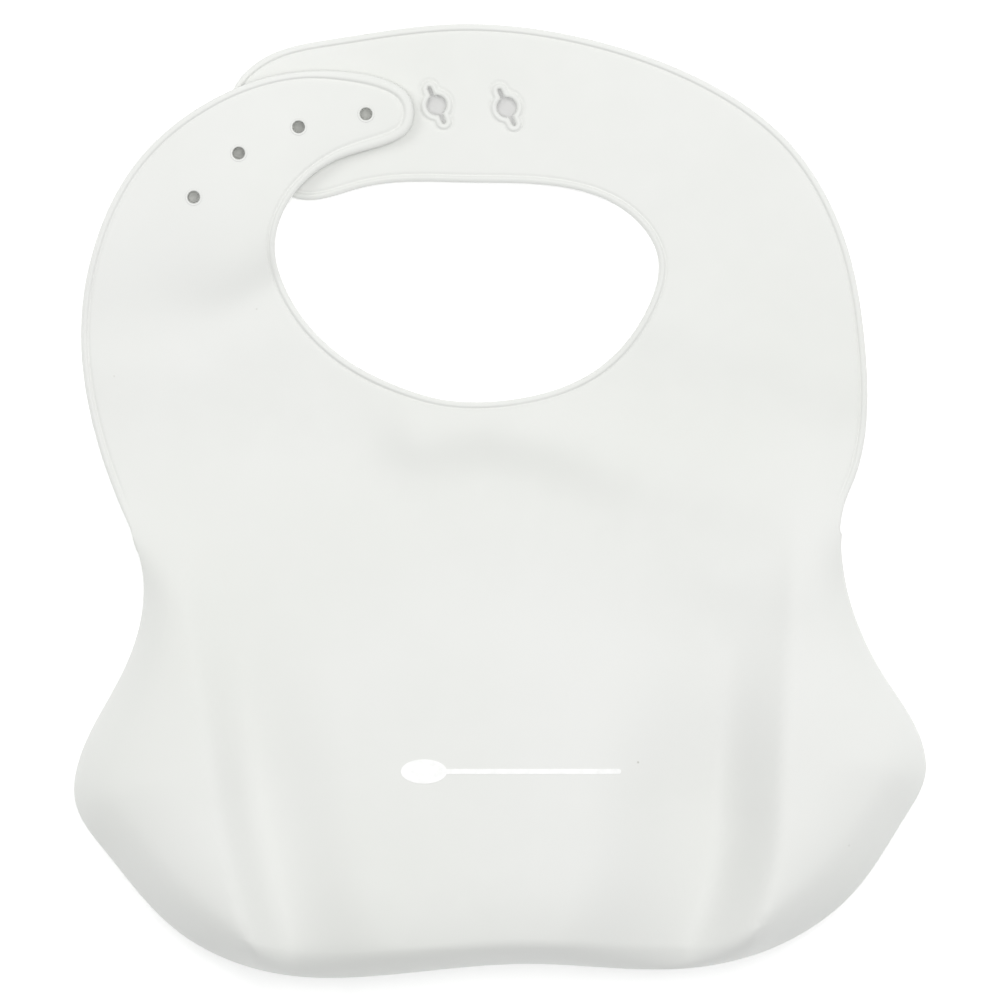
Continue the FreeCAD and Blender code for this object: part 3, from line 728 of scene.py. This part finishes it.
def under_patch():
    """Underside of the pocket, up to its rim, cut where the moving front leaves the rest."""
    border = np.vstack([FOLD[:-1], RIM[:-1]])
    order = np.argsort(RIM[:, 0])
    depths = [r for r in HEM_ROWS if r > FIRST_ROW]
    foot_x = np.linspace(-FRONT_SIDE_X, FRONT_SIDE_X, 65)
    cuts = [np.stack([foot_x, np.full(len(foot_x), FRONT_FOOT_Y)], axis=1)]
    for x in (-FRONT_SIDE_X, 0.0, FRONT_SIDE_X):
        top = np.interp(x, RIM[order, 0], RIM[order, 1])
        ys = [top - 0.02 - r for r in depths]
        count = int((ys[-1] - FRONT_FOOT_Y) / UNDER_STEP) + 1
        ys += list(np.linspace(ys[-1], FRONT_FOOT_Y, count + 1)[1:])
        cuts.append(np.array([(x, top)] + [(x, y) for y in ys]))
    way = np.gradient(RIM, axis=0)
    way /= np.linalg.norm(way, axis=1, keepdims=True)
    inward = np.stack([-way[:, 1], way[:, 0]], axis=1)
    rows = [rows_along(RIM, inward, HEM_ROWS, RIM)]
    s = EDGE.steps(CORNER_LEFT, CORNER_RIGHT, FOLD_STEP)
    rows.append(rows_along(EDGE.at(s), EDGE.inward(s), UNDER_FOLD_ROWS, WAISTS_AND_POCKET))
    margin = [(FOLD, UNDER_FOLD_ROWS[-1]), (RIM, HEM_ROWS[-1])]
    verts, faces = triangulate(border, [], cuts, np.vstack(rows), UNDER_STEP, margin)
    d = nearest(verts, WAISTS_AND_POCKET)
    d[nearest(verts, FOLD) < 1e-4] = 0.0
    x, y = verts.T
    return verts, faces[:, ::-1], under_height(x, y, d), hem_half(nearest(verts, RIM))


def weld(patches):
    """One mesh from several patches, joined where their borders meet."""
    index = {}
    points = []
    half = []
    faces = []
    region = []
    for number, (verts, tris, z, thick) in enumerate(patches):
        place = np.empty(len(verts), int)
        for i in range(len(verts)):
            key = (round(verts[i, 0], 3), round(verts[i, 1], 3), round(z[i], 2))
            if key not in index:
                index[key] = len(points)
                points.append((verts[i, 0], verts[i, 1], z[i]))
                half.append(thick[i])
            place[i] = index[key]
        faces.append(place[tris])
        region += [number] * len(tris)
    return np.array(points), np.array(half), np.vstack(faces), np.array(region)


def vertex_normals(points, faces):
    """Normals weighed by the angle of each face at a point, so that diagonals don't matter."""
    total = np.zeros_like(points)
    for k in range(3):
        here = points[faces[:, k]]
        one = points[faces[:, (k + 1) % 3]] - here
        two = points[faces[:, (k + 2) % 3]] - here
        cross = np.cross(one, two)
        size = np.linalg.norm(cross, axis=1)
        angle = np.arctan2(size, (one * two).sum(1))
        np.add.at(total, faces[:, k], cross * (angle / np.maximum(size, 1e-12))[:, None])
    return total / np.maximum(np.linalg.norm(total, axis=1, keepdims=True), 1e-12)


LOWER, PEG, HOLE, UNDER = range(4)          # the skin's regions, in the order in which they are made


def skin():
    """The whole skin with its thickness: points, outer faces, inner faces, and each face's region."""
    points, half, faces, region = weld([lower_patch(), peg_patch(), hole_patch(), under_patch()])
    normal = vertex_normals(points, faces)
    middle = points - normal * (SHEET / 2.0)
    outer = middle + normal * half[:, None]
    inner = middle - normal * half[:, None]
    shared = half < 1e-3
    count = len(points)
    twin = np.where(shared, np.arange(count), np.arange(count) + count)
    both = np.vstack([outer, inner])
    inside_faces = twin[faces][:, ::-1]
    normals = vertex_normals(both, np.vstack([faces, inside_faces]))
    return both, faces, inside_faces, region, count, normals


def open_edges(faces):
    """Edges that only one of the triangles has."""
    pairs = np.vstack([faces[:, [0, 1]], faces[:, [1, 2]], faces[:, [2, 0]]])
    where, number = np.unique(np.sort(pairs, axis=1), axis=0, return_inverse=True,
                              return_counts=True)[1:]
    return pairs[number[where.ravel()] == 1]


def placed(name, mesh):
    """A smooth-shaded object of a mesh, in the scene."""
    mesh.polygons.foreach_set("use_smooth", [True] * len(mesh.polygons))
    piece = bpy.data.objects.new(name, mesh)
    bpy.context.scene.collection.objects.link(piece)
    return piece


def piece_mesh(name, points, outer, inner, count, normals=None):
    """A piece of chosen faces, closed where it was cut from its neighbours.  Given normals keep the
    shading unbroken from one piece to the next."""
    points = list(map(tuple, points))
    walls = []
    for a, b in open_edges(outer):
        if points[a] == points[a + count] and points[b] == points[b + count]:
            continue
        base = len(points)
        points += [points[b], points[a], points[a + count], points[b + count]]
        walls.append((base, base + 1, base + 2, base + 3))
    faces = [tuple(f) for f in outer] + [tuple(f) for f in inner] + walls
    used = sorted({i for f in faces for i in f})
    renumber = {old: new for new, old in enumerate(used)}
    mesh = bpy.data.meshes.new(name)
    mesh.from_pydata([tuple(c * MM for c in points[i]) for i in used], [],
                     [tuple(renumber[i] for i in f) for f in faces])
    piece = placed(name, mesh)
    mesh.update()
    if normals is not None:
        wall_normal = (0.0, 0.0, 0.0)
        mesh.normals_split_custom_set_from_vertices(
            [tuple(normals[i]) if i < len(normals) else wall_normal for i in used])
    return piece


def bib_pieces():
    """Divides the skin where the bodies bend."""
    points, outer, inner, region, count, normals = skin()
    middle = points[outer].mean(axis=1)
    moving = ((region == UNDER) & (np.abs(middle[:, 0]) < FRONT_SIDE_X)
              & (middle[:, 1] > FRONT_FOOT_Y))
    choices = {
        "bib_body": ((region == LOWER) | (region == UNDER)) & ~moving,
        "pocket_front_left": moving & (middle[:, 0] < 0.0),
        "pocket_front_right": moving & (middle[:, 0] >= 0.0),
        "peg_strap_skin": region == PEG,
        "hole_strap_skin": region == HOLE,
    }
    return {name: piece_mesh(name, points, outer[which], inner[which], count, normals)
            for name, which in choices.items()}


# ---- closure pegs ----
def peg_profile():
    """Half section of a hollow peg, from the middle of its head's underside round to the bore's bottom.
    Heights are given with a share of the strap's surface height."""
    corner = 0.7
    profile = [(0.0, HEAD_BOTTOM, 0.0), (HEAD_RADIUS - corner * 1.6, HEAD_BOTTOM, 0.0)]
    for i in range(7):
        a = math.radians(-90.0 + 15.0 * i)
        profile.append((HEAD_RADIUS - corner + corner * math.cos(a),
                        HEAD_BOTTOM + corner + corner * math.sin(a), 0.0))
    for i in range(7):
        a = math.radians(15.0 * i)
        profile.append((HEAD_RADIUS - corner + corner * math.cos(a),
                        HEAD_TOP - corner + corner * math.sin(a), 0.0))
    profile += [(STEM_RADIUS + 0.25, HEAD_TOP, 0.0), (STEM_RADIUS + 0.07, HEAD_TOP + 0.08, 0.0),
                (STEM_RADIUS, HEAD_TOP + 0.3, 0.0), (STEM_RADIUS, -0.5, 1.0), (STEM_RADIUS, 0.0, 1.0)]
    lip = 0.4
    for i in range(8):
        a = math.radians(90.0 + 90.0 * i / 7.0)
        profile.append((BORE_RADIUS + lip + lip * math.cos(a), -lip + lip * math.sin(a), 1.0))
    profile += [(BORE_RADIUS, -1.5, 1.0), (BORE_RADIUS, BORE_BOTTOM + 0.5, 0.0),
                (BORE_RADIUS - 0.15, BORE_BOTTOM + 0.15, 0.0), (BORE_RADIUS - 0.5, BORE_BOTTOM, 0.0),
                (0.0, BORE_BOTTOM, 0.0)]
    return profile


def closure_peg(name, place, turns=40):
    """A turned peg; its upper rows follow the strap's surface."""
    profile = peg_profile()
    verts = []
    faces = []
    for r, z, share in profile[1:-1]:
        circle = ring(place, r, turns)
        surface = peg_height(*circle.T) if share else np.zeros(turns)
        verts += [(x, y, z + share * s) for (x, y), s in zip(circle, surface)]
    rows = len(profile) - 2
    for j in range(rows - 1):
        for i in range(turns):
            k = (i + 1) % turns
            faces.append((j * turns + i, j * turns + k, (j + 1) * turns + k, (j + 1) * turns + i))
    for end, row in ((0, 0), (-1, rows - 1)):
        centre = len(verts)
        verts.append((place[0], place[1], profile[end][1]))
        for i in range(turns):
            k = (i + 1) % turns
            a, b = row * turns + i, row * turns + k
            faces.append((centre, b, a) if end == 0 else (centre, a, b))
    mesh = bpy.data.meshes.new(name)
    mesh.from_pydata([tuple(c * MM for c in v) for v in verts], [], faces)
    return placed(name, mesh)


# ---- printed spoon ----
def printed_spoon():
    """Thin printed mark on the panel, where the frame has its own."""
    low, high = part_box("printed_motif")
    cx = (low.x + high.x) / 2.0 / MM
    cy = (low.y + high.y) / 2.0 / MM
    length = (high.x - low.x) / MM
    bowl_half = 6.5
    bowl_wide = 3.4
    handle_half = 0.7
    ink_above = 0.09
    ink_below = 0.05
    bowl_x = cx - length / 2.0 + bowl_half
    meet = math.asin(handle_half / bowl_wide)
    points = []
    for i in range(49):
        a = meet + (2.0 * math.pi - 2.0 * meet) * i / 48.0
        points.append((bowl_x + bowl_half * math.cos(a), cy + bowl_wide * math.sin(a)))
    right = cx + length / 2.0 - handle_half
    neck_x = points[-1][0]
    lower = [(neck_x + (right - neck_x) * i / 24.0, cy - handle_half) for i in range(1, 25)]
    tip = []
    for i in range(1, 8):
        a = -math.pi / 2.0 + math.pi * i / 8.0
        tip.append((right + handle_half * math.cos(a), cy + handle_half * math.sin(a)))
    upper = [(x, cy + handle_half) for x, _ in reversed(lower)]
    border = np.array(points + lower + tip + upper)
    rows = np.array([(x, cy) for x in np.linspace(cx - length / 2.0 + 1.0, right, 40)])
    verts, faces = triangulate(border, [], [], rows, 1.2, [])
    d = nearest(verts, WAISTS_AND_POCKET)
    z = panel_height(verts[:, 0], verts[:, 1], d)
    count = len(verts)
    top = np.column_stack([verts, z + ink_above])
    base = np.column_stack([verts, z - ink_below])
    return piece_mesh("printed_spoon", np.vstack([top, base]), faces, faces[:, ::-1] + count, count)


# ---- materials ----
def node(tree, kind, place, **inputs):
    """Shader node with some inputs set; an underscore stands for a space in an input's name."""
    made = tree.nodes.new(kind)
    made.location = place
    for name, value in inputs.items():
        made.inputs[name.replace("_", " ")].default_value = value
    return made


def ramp(tree, place, stops):
    """Colour ramp with the given (position, colour) stops."""
    made = tree.nodes.new("ShaderNodeValToRGB")
    made.location = place
    elements = made.color_ramp.elements
    while len(elements) < len(stops):
        elements.new(0.5)
    for element, (where, colour) in zip(elements, stops):
        element.position = where
        element.color = colour
    return made


def grey(value):
    return (value, value, value, 1.0)


def new_material(name):
    material = bpy.data.materials.new(name)
    material.use_nodes = True
    return material, material.node_tree, material.node_tree.nodes["Principled BSDF"]


def silicone():
    """Matte off-white silicone: faint tone drift, tiny specks, a fine satin grain."""
    material, tree, shader = new_material("matte_silicone")
    shader.inputs["IOR"].default_value = 1.41
    shader.inputs["Specular IOR Level"].default_value = 0.42
    shader.inputs["Sheen Weight"].default_value = 0.12
    shader.inputs["Sheen Roughness"].default_value = 0.6
    coords = node(tree, "ShaderNodeTexCoord", (-1200, 0))
    drift = node(tree, "ShaderNodeTexNoise", (-950, 250), Scale=9.0, Detail=3.0, Roughness=0.55)
    tones = ramp(tree, (-700, 250), [(0.3, (0.775, 0.786, 0.758, 1.0)),
                                     (0.7, (0.806, 0.812, 0.796, 1.0))])
    cells = node(tree, "ShaderNodeTexVoronoi", (-950, -50), Scale=62.0)
    dots = ramp(tree, (-700, -50), [(0.0, grey(1.0)), (0.028, grey(0.0))])
    chosen = node(tree, "ShaderNodeTexNoise", (-950, -300), Scale=31.0, Detail=0.0)
    few = ramp(tree, (-700, -300), [(0.6, grey(0.0)), (0.64, grey(1.0))])
    amount = tree.nodes.new("ShaderNodeMath")
    amount.operation = "MULTIPLY"
    speck = tree.nodes.new("ShaderNodeMix")
    speck.data_type = "RGBA"
    speck.inputs[7].default_value = (0.47, 0.46, 0.42, 1.0)
    grain = node(tree, "ShaderNodeTexNoise", (-950, -550), Scale=1500.0, Detail=3.0, Roughness=0.6)
    mottle = node(tree, "ShaderNodeTexNoise", (-950, -800), Scale=140.0, Detail=2.0, Roughness=0.5)
    satin = ramp(tree, (-700, -800), [(0.3, grey(0.5)), (0.7, grey(0.6))])
    bump = node(tree, "ShaderNodeBump", (-350, -550), Strength=0.12, Distance=0.00008)
    link = tree.links.new
    for texture in (drift, cells, chosen, grain, mottle):
        link(coords.outputs["Object"], texture.inputs["Vector"])
    link(drift.outputs["Fac"], tones.inputs["Fac"])
    link(cells.outputs["Distance"], dots.inputs["Fac"])
    link(chosen.outputs["Fac"], few.inputs["Fac"])
    link(dots.outputs["Color"], amount.inputs[0])
    link(few.outputs["Color"], amount.inputs[1])
    link(amount.outputs["Value"], speck.inputs[0])
    link(tones.outputs["Color"], speck.inputs[6])
    link(speck.outputs[2], shader.inputs["Base Color"])
    link(mottle.outputs["Fac"], satin.inputs["Fac"])
    link(satin.outputs["Color"], shader.inputs["Roughness"])
    link(grain.outputs["Fac"], bump.inputs["Height"])
    link(bump.outputs["Normal"], shader.inputs["Normal"])
    return material


def print_ink():
    """White print: a slightly uneven coat that is glossier than the silicone."""
    material, tree, shader = new_material("white_print")
    shader.inputs["Specular IOR Level"].default_value = 0.5
    coords = node(tree, "ShaderNodeTexCoord", (-900, 0))
    wear = node(tree, "ShaderNodeTexNoise", (-700, 100), Scale=420.0, Detail=4.0, Roughness=0.6)
    tones = ramp(tree, (-450, 100), [(0.35, (0.9, 0.905, 0.9, 1.0)), (0.6, (0.97, 0.972, 0.97, 1.0))])
    gloss = ramp(tree, (-450, -150), [(0.3, grey(0.38)), (0.7, grey(0.5))])
    link = tree.links.new
    link(coords.outputs["Object"], wear.inputs["Vector"])
    link(wear.outputs["Fac"], tones.inputs["Fac"])
    link(wear.outputs["Fac"], gloss.inputs["Fac"])
    link(tones.outputs["Color"], shader.inputs["Base Color"])
    link(gloss.outputs["Color"], shader.inputs["Roughness"])
    return material


def floor_paint():
    """Plain pale floor with a faint glow; the glow is left out just under the open keyholes, which
    paints shade on the floor seen through them.
    """
    material, tree, shader = new_material("pale_floor")
    shader.inputs["Roughness"].default_value = 0.9
    shader.inputs["Specular IOR Level"].default_value = 0.1
    shader.inputs["Emission Strength"].default_value = FLOOR_GLOW
    coords = node(tree, "ShaderNodeTexCoord", (-1200, 0))
    tooth = node(tree, "ShaderNodeTexNoise", (-700, 0), Scale=60.0, Detail=4.0)
    tones = ramp(tree, (-450, 0), [(0.3, grey(0.955)), (0.7, grey(0.975))])
    nearer = tree.nodes.new("ShaderNodeMath")
    nearer.operation = "MINIMUM"
    # painted shade: distance to each open keyhole, to leave the floor's glow out under it
    for slot, place in enumerate(KEYHOLES[2:]):
        away = tree.nodes.new("ShaderNodeVectorMath")
        away.operation = "DISTANCE"
        away.inputs[1].default_value = (place[0] * MM, place[1] * MM, 0.0)
        tree.links.new(coords.outputs["Object"], away.inputs[0])
        tree.links.new(away.outputs["Value"], nearer.inputs[slot])
    # painted shade under the open keyholes: no glow within 6.5 mm of one, full glow from 9 mm
    clear = ramp(tree, (-450, -250), [(6.5 * MM, grey(0.0)), (9.0 * MM, grey(1.0))])
    link = tree.links.new
    link(nearer.outputs["Value"], clear.inputs["Fac"])
    link(clear.outputs["Color"], shader.inputs["Emission Color"])
    link(coords.outputs["Object"], tooth.inputs["Vector"])
    link(tooth.outputs["Fac"], tones.inputs["Fac"])
    link(tones.outputs["Color"], shader.inputs["Base Color"])
    return material


# ---- the bib ----
def build_bib():
    """Makes every piece, ties the printed spoon and the pegs to the frame's bodies, and hides the
    frame's nodes that the pieces stand for.
    """
    matte = silicone()
    pieces = bib_pieces()
    for number, place in enumerate(PEGS, 1):
        pieces["peg_%d" % number] = closure_peg("peg_%d" % number, place)
    for piece in pieces.values():
        piece.data.materials.append(matte)
    spoon = printed_spoon()
    spoon.data.materials.append(print_ink())
    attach(spoon, "root")
    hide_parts("printed_motif")

    body = pieces["bib_body"]
    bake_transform(body)
    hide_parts("back_panel", "waist_panel", "left_gusset", "right_gusset", "pocket_base",
                "front_side_left", "front_side_right", "chest_panel", "neck_hem")
    for side, name in ((-1.0, "pocket_front_left"), (1.0, "pocket_front_right")):
        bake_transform(pieces[name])
    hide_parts("pocket_front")
    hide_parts("pocket_rim_bead")
    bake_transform(pieces["peg_strap_skin"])
    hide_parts("left_shoulder", "left_hem", "peg_strap", "peg_strap_hem")
    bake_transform(pieces["hole_strap_skin"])
    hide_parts("right_shoulder", "right_hem", "hole_strap",
                "hole_strap_hem", *["keyhole_collar_%d" % i for i in range(1, len(KEYHOLES) + 1)])
    for number in range(1, len(PEGS) + 1):
        peg = pieces["peg_%d" % number]
        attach(peg, "peg_strap")
        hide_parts("closure_peg_%d" % number)


# ---- floor, light and camera ----
def build_stage():
    """A wide floor just under the bib, and an even pale sky."""
    half = FLOOR_HALF
    mesh = bpy.data.meshes.new("floor")
    mesh.from_pydata([(-half, -half, 0.0), (half, -half, 0.0), (half, half, 0.0), (-half, half, 0.0)],
                     [], [(0, 1, 2, 3)])
    mesh.materials.append(floor_paint())
    floor = bpy.data.objects.new("floor", mesh)
    floor.location.z = CAD_BOX[0].z - FLOOR_GAP
    bpy.context.scene.collection.objects.link(floor)

    world = bpy.data.worlds.new("studio")
    bpy.context.scene.world = world
    world.use_nodes = True
    sky = world.node_tree.nodes["Background"]
    sky.inputs["Color"].default_value = SKY_COLOUR
    sky.inputs["Strength"].default_value = SKY_STRENGTH


def add_light(name, place, size, energy, colour):
    """Square soft light that faces the bib."""
    light = bpy.data.lights.new(name, "AREA")
    light.shape = "SQUARE"
    light.size = size
    light.energy = energy
    light.color = colour
    lamp = bpy.data.objects.new(name, light)
    lamp.location = place
    way = Vector((0.0, 0.0, 0.02)) - Vector(place)
    lamp.rotation_euler = way.to_track_quat("-Z", "Y").to_euler()
    bpy.context.scene.collection.objects.link(lamp)


def build_lights():
    """Soft studio light from overhead, with weaker lights from both upper sides."""
    for name, place, size, watts, colour in LIGHTS:
        add_light(name, place, size, watts, colour)


def build_camera():
    """Straight above the bib, through a long lens."""
    data = bpy.data.cameras.new("camera")
    data.sensor_width = SENSOR
    data.lens = LENS
    distance = VIEW_WIDTH * LENS / SENSOR
    data.clip_end = distance * 2.0
    camera = bpy.data.objects.new("camera", data)
    camera.location = (0.0, 0.0, distance)
    bpy.context.scene.collection.objects.link(camera)
    bpy.context.scene.camera = camera


build_bib()
build_stage()
build_lights()
build_camera()
bpy.context.scene.view_settings.view_transform = "Standard"
